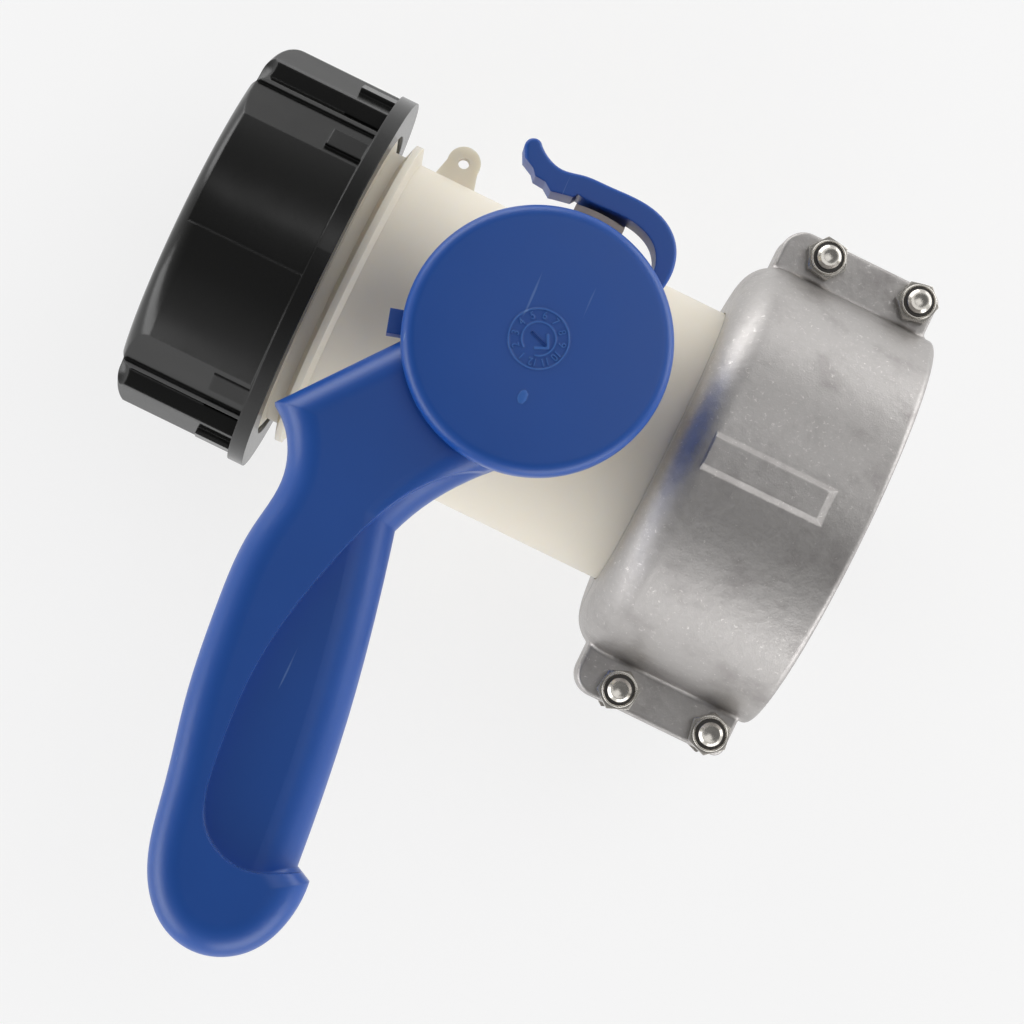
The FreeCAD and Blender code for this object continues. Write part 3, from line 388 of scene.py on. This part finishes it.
def piece_from(form, name, body, slot, *materials, crease=35.0):
    """Finish a form as a piece that rides on a body; edges sharper than the crease stay sharp."""
    mesh = bpy.data.meshes.new(name)
    form.to_mesh(mesh)
    form.free()
    mesh.shade_smooth()
    mesh.set_sharp_from_angle(angle=math.radians(crease))
    for material in materials:
        mesh.materials.append(material)
    piece = bpy.data.objects.new(name, mesh)
    bpy.context.collection.objects.link(piece)
    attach(piece, body)
    return piece


def written(text, size, depth):
    """Raised lettering centred on the origin, as a form."""
    font = bpy.data.curves.new("working", "FONT")
    font.body = text
    font.size = size
    font.extrude = depth / 2
    font.align_x, font.align_y = "CENTER", "CENTER"
    letters = bpy.data.objects.new("working", font)
    bpy.context.collection.objects.link(letters)
    shown = letters.evaluated_get(bpy.context.evaluated_depsgraph_get())
    mesh = bpy.data.meshes.new_from_object(shown)
    form = bmesh.new()
    form.from_mesh(mesh)
    bpy.data.objects.remove(letters)
    bpy.data.curves.remove(font)
    bpy.data.meshes.remove(mesh)
    return form


# ---- cover and date dial ---------------------------------------------------------------------
DIAL_TWELVE = math.radians(100.8)         # direction of the dial's 12, from +X
ARROW_TURN = math.radians(160.8)          # direction of the dial's arrow
DIAL_ARC = 1.75 * math.pi                 # sweep of the arc inside the numerals
DIAL_SUNK = 0.3 * MM                      # how far the relief reaches into the cover
DIAL_FLAT = 1.6                           # flat round the dial, of the dial's radius
NUMERAL_FONT = 1.25                       # font size over the numeral's height
NUMERAL_NARROW = 0.82
ARROW_FONT = 1.9                          # font size over the inner arc's radius
COVER_FOOT_ROUND = 0.5 * MM
GATE_PLACE = Vector((-2.1, 11.4, 0.0)) * MM      # gate mark, from the stem axis
GATE_SIZE = Vector((0.9, 1.4, 0.28)) * MM        # half its width, length and height
GATE_GRAIN = 0.35 * MM


def cover_disc(sizes):
    """Disc with a rounded rim over the ring that plugs into the hub."""
    radius = (COVER_HIGH.x - COVER_LOW.x) / 2
    top, low = COVER_HIGH.z, COVER_LOW.z
    under = top - sizes.thickness
    inner = sizes.plug_radius - sizes.plug_wall
    form = bmesh.new()
    spun(form, [(0.0, top), (sizes.dial_radius * DIAL_FLAT, top), (radius, top), (radius, under),
                (sizes.plug_radius, under), (sizes.plug_radius, low), (inner, low), (inner, under),
                (0.0, under)], (STEM_X, 0.0, 0.0), steps=160)
    cleaned(form)

    def outer(edge, height):
        middle = Vector((STEM_X, 0, height))
        return all(abs(v.co.z - height) < 1e-6 and (v.co - middle).length > 0.9 * radius
                   for v in edge.verts)
    rounded(form, sizes.rim_round, 8, lambda edge: outer(edge, top))
    rounded(form, COVER_FOOT_ROUND, 3, lambda edge: outer(edge, under))
    return form


def dial(sizes):
    """Raised date dial: two rings, the numerals 1 to 12 and an arrow."""
    low, high = -DIAL_SUNK, sizes.dial_rise
    half_way = (high + low) / 2
    form = bmesh.new()
    for radius, start, sweep in ((sizes.dial_radius, 0.0, FULL_TURN),
                                 (sizes.dial_inner, DIAL_TWELVE, DIAL_ARC)):
        inner = radius - sizes.dial_line
        profile = [(inner, low), (inner, high), (radius, high), (radius, low)]
        if sweep >= FULL_TURN:
            profile.append(profile[0])
        ring = bmesh.new()
        spun(ring, profile, steps=72, turn_from=start, sweep=sweep)
        pour(cleaned(ring), form)
        ring.free()
    middle = (sizes.dial_radius + sizes.dial_inner) / 2 - sizes.dial_line / 2
    for number in range(1, 13):
        turn = DIAL_TWELVE - math.radians(30 * number)
        numeral = written(str(number), sizes.numeral_size * NUMERAL_FONT, high - low)
        place = (Matrix.Rotation(turn, 4, "Z") @ Matrix.Translation((middle, 0, half_way))
                 @ Matrix.Rotation(-math.pi / 2, 4, "Z")
                 @ Matrix.Scale(NUMERAL_NARROW, 4, (1, 0, 0)))
        pour(numeral, form, place)
        numeral.free()
    arrow = written("\u2191", sizes.dial_inner * ARROW_FONT, high - low)
    pour(arrow, form, Matrix.Rotation(ARROW_TURN - math.pi / 2, 4, "Z")
         @ Matrix.Translation((0, 0, half_way)))
    arrow.free()
    return form


def gate_mark():
    """Torn stub where the moulding's sprue broke off: a low, rough oval."""
    form = bmesh.new()
    bmesh.ops.create_icosphere(form, subdivisions=3, radius=1.0)
    bmesh.ops.scale(form, vec=GATE_SIZE, verts=form.verts)
    for vert in form.verts:
        rough = noise.noise(vert.co / GATE_GRAIN)
        vert.co.z *= 1.0 + 0.5 * rough
        vert.co.xy *= 1.0 + 0.14 * rough
    return form


# ---- operators -------------------------------------------------------------------------------
class VALVE_OT_body(bpy.types.Operator):
    """Finish the moulded body, its bushes, gaskets and the latch keeper"""
    bl_idname = "valve.body"
    bl_label = "Body"

    def execute(self, context):
        finish = context.scene.valve_finish
        dress(natural_polyethylene("natural_hdpe_moulded", finish.body), "valve_body")
        dress(matt_polymer("acetal_turned", finish.bush, 0.4), "upper_stem_bush", "lower_stem_bush")
        dress(matt_polymer("epdm_rubber", finish.rubber, 0.65), "flange_gasket", "cap_gasket",
              "stem_orings", "butterfly_seal")
        dress(matt_polymer("glass_filled_polypropylene", finish.stem, 0.45, 0.25), "stem")
        dress(natural_polyethylene("natural_polypropylene", finish.body), "butterfly_disc")
        # The keeper's steel finish carries painted shade: its grey is the shade under the latch arm and
        # the disc
        dress(formed_steel("steel_strip_painted_shade", finish.keeper, 0.4), "latch_keeper")
        return {"FINISHED"}


class VALVE_OT_cover(bpy.types.Operator):
    """Model the round cover over the hub, with its date dial and gate mark"""
    bl_idname = "valve.cover"
    bl_label = "Cover"

    def execute(self, context):
        sizes = context.scene.cover_sizes
        form = cover_disc(sizes)
        top = Matrix.Translation((STEM_X, 0, COVER_HIGH.z))
        for raised, place in ((dial(sizes), top),
                              (gate_mark(), top @ Matrix.Translation(GATE_PLACE))):
            for face in raised.faces:
                face.material_index = 1
            pour(raised, form, place)
            raised.free()
        finish = context.scene.valve_finish
        blue = moulded_polypropylene("blue_polypropylene_polished", finish.blue)
        rubbed = moulded_polypropylene("blue_polypropylene_rubbed", finish.rubbed, 0.5)
        cover = piece_from(form, "cover_with_date_dial", "handle", "blue_plastic", blue, rubbed)
        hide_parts("handle_cover")
        return {"FINISHED"}


class VALVE_OT_handle(bpy.types.Operator):
    """Finish the lever, its latch and the parts in its hub"""
    bl_idname = "valve.handle"
    bl_label = "Handle"

    def execute(self, context):
        finish = context.scene.valve_finish
        blue = moulded_polypropylene("blue_polypropylene_moulded", finish.blue)
        dress(blue, "handle_lever", "latch_arm")
        steel = formed_steel("stainless_steel_turned", finish.steel)
        dress(steel, "hub_washer", "hub_screw", "latch_pin", "butterfly_pins")
        return {"FINISHED"}


class VALVE_OT_clamp(bpy.types.Operator):
    """Finish the cast clamp"""
    bl_idname = "valve.clamp"
    bl_label = "Clamp"

    def execute(self, context):
        finish = context.scene.valve_finish
        dress(die_cast_aluminium("aluminium_die_cast", finish.cast), "clamp_half_upper",
              "clamp_half_lower")
        return {"FINISHED"}


# ---- bolts and lock nuts ---------------------------------------------------------------------
CLAMP_TURN = math.radians(-3.0)           # the clamp is bolted on at this turn about the flow axis
NUT_TURNS = tuple(math.radians(turn) for turn in (12, 40, -8, 22))     # as each was last tightened
INSERTS_LOW, INSERTS_HIGH = (Vector(corner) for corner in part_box("nut_inserts"))
CONE = math.radians(30)                   # slope of the cones that turn the hexagons' corners off
TURNED_FACE = 0.475                       # radius of the flat inside that cone, of the flats' width
CUTTER_REACH = 1.3                        # cutter's radius, of the hexagon's corner
COLLAR_START = 0.2 * MM                   # collar's foot inside the hexagon
RING_SEAT = 1.4 * MM                      # nylon ring's seat under the nut's top
NUT_BORE = 1.004                          # nut's bore, of the bolt's thread
NUT_ENTRY = 0.3 * MM                      # chamfer at the nut's foot
BOLT_CREST = 0.995                        # crests that show, of the thread's radius
THREAD_DEPTH = 0.61                       # of the pitch
CREST_FLAT = 0.1 * MM                     # half a crest's flat
TIP_CHAMFER = 0.6 * MM
TIP_DISH = ((0.0, 0.25), (0.45, 0.12), (0.55, 0.0))    # share of the crest's radius, depth in mm
HEAD_GAP = 0.01 * MM                      # shank's foot over the head


def hexagon_bar(across_flats, low, high, turned_ends):
    """Hexagon with its corners turned off to 30 degree cones at the ends that are named."""
    corner = across_flats / math.sqrt(3)
    form = bmesh.new()
    bmesh.ops.create_cone(form, cap_ends=True, segments=6, radius1=corner, radius2=corner,
                          depth=high - low)
    bmesh.ops.rotate(form, verts=form.verts, matrix=Matrix.Rotation(math.pi / 6, 3, "Z"))
    bmesh.ops.translate(form, verts=form.verts, vec=(0, 0, (low + high) / 2))
    face = TURNED_FACE * across_flats
    wide = CUTTER_REACH * corner
    drop = (wide - face) * math.tan(CONE)
    top = [(0.0, high), (face, high), (wide, high - drop)] if "high" in turned_ends else \
        [(0.0, high + MM), (wide, high + MM)]
    foot = [(wide, low + drop), (face, low), (0.0, low)] if "low" in turned_ends else \
        [(wide, low - MM), (0.0, low - MM)]
    turned = bmesh.new()
    spun(turned, top + foot, steps=72)
    return meet(form, cleaned(turned), "INTERSECT")


def lock_nut(sizes):
    """Hexagon nut with a round collar, rolled in over its nylon ring."""
    high = sizes.nut_height
    bore = sizes.thread_radius * NUT_BORE
    nut = hexagon_bar(sizes.across_flats, 0.0, sizes.hex_height, ("low", "high"))
    collar = bmesh.new()
    seat = high - RING_SEAT
    lip = (sizes.collar_radius - sizes.ring_radius) / 2
    roll = [(sizes.collar_radius - lip + lip * math.cos(a), high - lip + lip * math.sin(a))
            for a in (math.radians(18 * k) for k in range(11))]
    spun(collar, [(bore, COLLAR_START), (sizes.collar_radius, COLLAR_START)] + roll
         + [(sizes.ring_radius, seat), (bore, seat), (bore, COLLAR_START)], steps=72)
    nut = meet(nut, cleaned(collar), "UNION")
    drill = bmesh.new()
    spun(drill, [(0, -MM), (bore + NUT_ENTRY, -MM), (bore + NUT_ENTRY, 0.0), (bore, NUT_ENTRY),
                 (bore, high), (0, high)], steps=72)
    return meet(nut, cleaned(drill), "DIFFERENCE")


def bolt(sizes):
    """Hexagon head bolt from under the lower ear to past the nut, with its thread's crests."""
    tip = sizes.seat + sizes.nut_height + sizes.tip_over_nut
    under = -sizes.seat
    foot = under + HEAD_GAP
    pitch = sizes.thread_pitch
    crest = sizes.thread_radius * BOLT_CREST
    root = sizes.thread_radius - THREAD_DEPTH * pitch
    profile = [(share * crest, tip - depth * MM) for share, depth in TIP_DISH]
    height = tip - TIP_CHAMFER
    profile += [(crest - TIP_CHAMFER, tip), (crest, height)]
    while height > sizes.seat + sizes.nut_height - pitch:
        profile += [(crest, height - CREST_FLAT), (root, height - pitch / 2),
                    (crest, height - pitch + CREST_FLAT)]
        height -= pitch
    profile += [(crest, height), (crest, foot), (0.0, foot)]
    shank = bmesh.new()
    spun(shank, profile, steps=64)
    cleaned(shank)
    head = hexagon_bar(sizes.across_flats, under - sizes.head_height, under, ("low",))
    pour(head, shank)
    head.free()
    return shank


def at_each_bolt(form, sizes):
    """Four copies, at the clamp's bolts."""
    rows = (INSERTS_LOW.x + sizes.ring_radius, INSERTS_HIGH.x - sizes.ring_radius)
    every = bmesh.new()
    for k, x in enumerate(rows):
        for side in (-1, 1):
            place = (Matrix.Rotation(CLAMP_TURN, 4, "X")
                     @ Matrix.Translation((x, side * sizes.bolt_span / 2, 0))
                     @ Matrix.Rotation(NUT_TURNS[2 * k + (side + 1) // 2], 4, "Z"))
            pour(form, every, place)
    form.free()
    return every


class VALVE_OT_fasteners(bpy.types.Operator):
    """Model the clamp's four bolts and their lock nuts"""
    bl_idname = "valve.fasteners"
    bl_label = "Bolts and nuts"

    def execute(self, context):
        finish = context.scene.valve_finish
        sizes = context.scene.fastener_sizes
        steel = formed_steel("stainless_steel_cold_formed", finish.steel)
        nut = lock_nut(sizes)
        bmesh.ops.translate(nut, verts=nut.verts, vec=(0, 0, sizes.seat))
        nuts = piece_from(at_each_bolt(nut, sizes), "lock_nuts", "valve", "stainless_steel", steel)
        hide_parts("clamp_nuts")
        bolts = piece_from(at_each_bolt(bolt(sizes), sizes), "hexagon_bolts", "valve",
                           "stainless_steel", steel)
        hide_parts("clamp_bolts")
        dress(matt_polymer("nylon_ring", finish.nylon, 0.5), "nut_inserts")
        return {"FINISHED"}


class VALVE_OT_cap(bpy.types.Operator):
    """Finish the screw cap"""
    bl_idname = "valve.cap"
    bl_label = "Cap"

    def execute(self, context):
        finish = context.scene.valve_finish
        dress(black_polypropylene("black_polypropylene_polished", finish.cap), "outlet_cap")
        return {"FINISHED"}


# ---- studio ----------------------------------------------------------------------------------
CAMERA_TARGET = Vector((63.86, 26.23, 0.0)) * MM
CAMERA_DISTANCE = 681.2 * MM
CAMERA_TILT_Y = math.radians(5.523)       # lean of the view towards +Y
CAMERA_TILT_X = math.radians(1.132)       # lean of the view towards +X
CAMERA_ROLL = math.radians(25.837)        # turn of the picture's upright from -Y
CAMERA_LENS = 114.04                      # millimetres
CAMERA_SENSOR = 36.0                      # millimetres
FLOOR_HALF = 4.0                          # half the floor's side, in metres
FLOOR_GLOW = 0.7                          # share of plain white where the floor itself is seen
ZENITH_FROM = 0.85                        # upward part of a direction that counts as overhead
LIT_POINT = Vector((STEM_X, 0.03, 0.0))
TOP_LAMP = Vector((-0.25, -0.35, 0.95))   # from the lit point, in metres
TOP_LAMP_SIZE = (0.7, 0.7)
SIDE_LAMPS = 4
SIDE_LAMP_OUT, SIDE_LAMP_UP = 0.75, 0.12
SIDE_LAMP_SIZE = (0.9, 0.35)


def add_camera(context):
    """Camera above the valve, looking down the stem."""
    lean = Vector((math.sin(CAMERA_TILT_X), math.sin(CAMERA_TILT_Y), 0.0))
    lean.z = math.sqrt(1 - lean.length_squared)
    forward = -lean
    upright = Vector((math.sin(CAMERA_ROLL), -math.cos(CAMERA_ROLL), 0.0))
    right = forward.cross(upright).normalized()
    up = right.cross(forward)
    turn = Matrix((right, up, lean)).transposed().to_4x4()
    data = bpy.data.cameras.new("camera")
    data.lens = CAMERA_LENS
    data.sensor_width = CAMERA_SENSOR
    data.clip_start = 0.01
    camera = bpy.data.objects.new("camera", data)
    camera.matrix_world = Matrix.Translation(CAMERA_TARGET + lean * CAMERA_DISTANCE) @ turn
    context.collection.objects.link(camera)
    context.scene.camera = camera


def add_lamp(context, name, offset, size, power):
    """Softbox at an offset from the lit point, aimed at it."""
    place = LIT_POINT + offset
    data = bpy.data.lights.new(name, "AREA")
    data.shape = "RECTANGLE"
    data.size, data.size_y = size
    data.energy = power
    lamp = bpy.data.objects.new(name, data)
    lamp.location = place
    lamp.rotation_euler = (LIT_POINT - place).to_track_quat("-Z", "Y").to_euler()
    context.collection.objects.link(lamp)


def shown_white(tree, shade, plain):
    """Mix a plain shader with white for rays that show the surface itself."""
    path = add(tree, "ShaderNodeLightPath")
    seen = add(tree, "ShaderNodeMath", {0: path.outputs["Is Camera Ray"],
                                        1: path.outputs["Is Glossy Ray"]}, operation="MAXIMUM")
    seen = add(tree, "ShaderNodeMath", {0: seen.outputs[0], 1: path.outputs["Is Transmission Ray"]},
               operation="MAXIMUM")
    share = add(tree, "ShaderNodeMath", {0: seen.outputs[0], 1: shade}, operation="MULTIPLY")
    white = add(tree, "ShaderNodeEmission", {"Color": (1, 1, 1, 1), "Strength": 1.0})
    mixed = add(tree, "ShaderNodeMixShader", {0: share.outputs[0]})
    tree.links.new(plain.outputs[0], mixed.inputs[1])
    tree.links.new(white.outputs[0], mixed.inputs[2])
    return mixed


class VALVE_OT_studio(bpy.types.Operator):
    """Build the floor, the lamps and the camera"""
    bl_idname = "valve.studio"
    bl_label = "Studio"

    def execute(self, context):
        light = context.scene.studio_light
        low = min(corner[2] for corner in CAD_BOX)
        mesh = bpy.data.meshes.new("floor")
        grid = bmesh.new()
        bmesh.ops.create_grid(grid, x_segments=1, y_segments=1, size=FLOOR_HALF)
        bmesh.ops.translate(grid, verts=grid.verts, vec=(0, 0, low))
        grid.to_mesh(mesh)
        grid.free()
        floor = bpy.data.objects.new("floor", mesh)
        context.collection.objects.link(floor)
        material, tree = new_material("white_paper")
        paper = add(tree, "ShaderNodeBsdfDiffuse", {"Color": linear("FAFAFA")})
        finish_material(tree, shown_white(tree, FLOOR_GLOW, paper))
        mesh.materials.append(material)

        world = context.scene.world or bpy.data.worlds.new("world")
        context.scene.world = world
        world.use_nodes = True
        tree = world.node_tree
        tree.nodes.clear()
        toward = add(tree, "ShaderNodeTexCoord").outputs["Generated"]
        height = add(tree, "ShaderNodeSeparateXYZ", {"Vector": toward}).outputs["Z"]
        strength = ranged(tree, height, light.horizon, light.zenith, 0.0, ZENITH_FROM)
        sky = add(tree, "ShaderNodeBackground", {"Color": linear("FFFFFF"), "Strength": strength})
        add(tree, "ShaderNodeOutputWorld", {"Surface": sky.outputs[0]})

        add_lamp(context, "top_softbox", TOP_LAMP, TOP_LAMP_SIZE, light.top)
        for turn in range(SIDE_LAMPS):
            angle = math.radians(45 + 90 * turn)
            offset = Vector((SIDE_LAMP_OUT * math.cos(angle), SIDE_LAMP_OUT * math.sin(angle),
                             SIDE_LAMP_UP))
            add_lamp(context, "side_softbox_%d" % (turn + 1), offset, SIDE_LAMP_SIZE, light.side)
        add_camera(context)
        context.scene.view_settings.view_transform = "Standard"
        return {"FINISHED"}


class VALVE_PT_panel(bpy.types.Panel):
    """Lists the steps that dress the valve"""
    bl_idname = "VALVE_PT_panel"
    bl_label = "Tank outlet valve"
    bl_space_type = "VIEW_3D"
    bl_region_type = "UI"
    bl_category = "Valve"

    def draw(self, context):
        for step in STEPS:
            self.layout.operator(step.bl_idname)


STEPS = (VALVE_OT_studio, VALVE_OT_body, VALVE_OT_handle, VALVE_OT_cover, VALVE_OT_clamp,
         VALVE_OT_fasteners, VALVE_OT_cap)
GROUPS = {"valve_finish": ValveFinish, "cover_sizes": CoverSizes, "fastener_sizes": FastenerSizes,
          "studio_light": StudioLight}


def register():
    for group in GROUPS.values():
        bpy.utils.register_class(group)
    for name, group in GROUPS.items():
        setattr(bpy.types.Scene, name, PointerProperty(type=group))
    for step in STEPS:
        bpy.utils.register_class(step)
    bpy.utils.register_class(VALVE_PT_panel)


def unregister():
    bpy.utils.unregister_class(VALVE_PT_panel)
    for step in reversed(STEPS):
        bpy.utils.unregister_class(step)
    for name in GROUPS:
        delattr(bpy.types.Scene, name)
    for group in GROUPS.values():
        bpy.utils.unregister_class(group)


def main():
    register()
    bpy.ops.valve.studio()
    bpy.ops.valve.body()
    bpy.ops.valve.handle()
    bpy.ops.valve.cover()
    bpy.ops.valve.clamp()
    bpy.ops.valve.fasteners()
    bpy.ops.valve.cap()


if __name__ == "__main__":
    main()
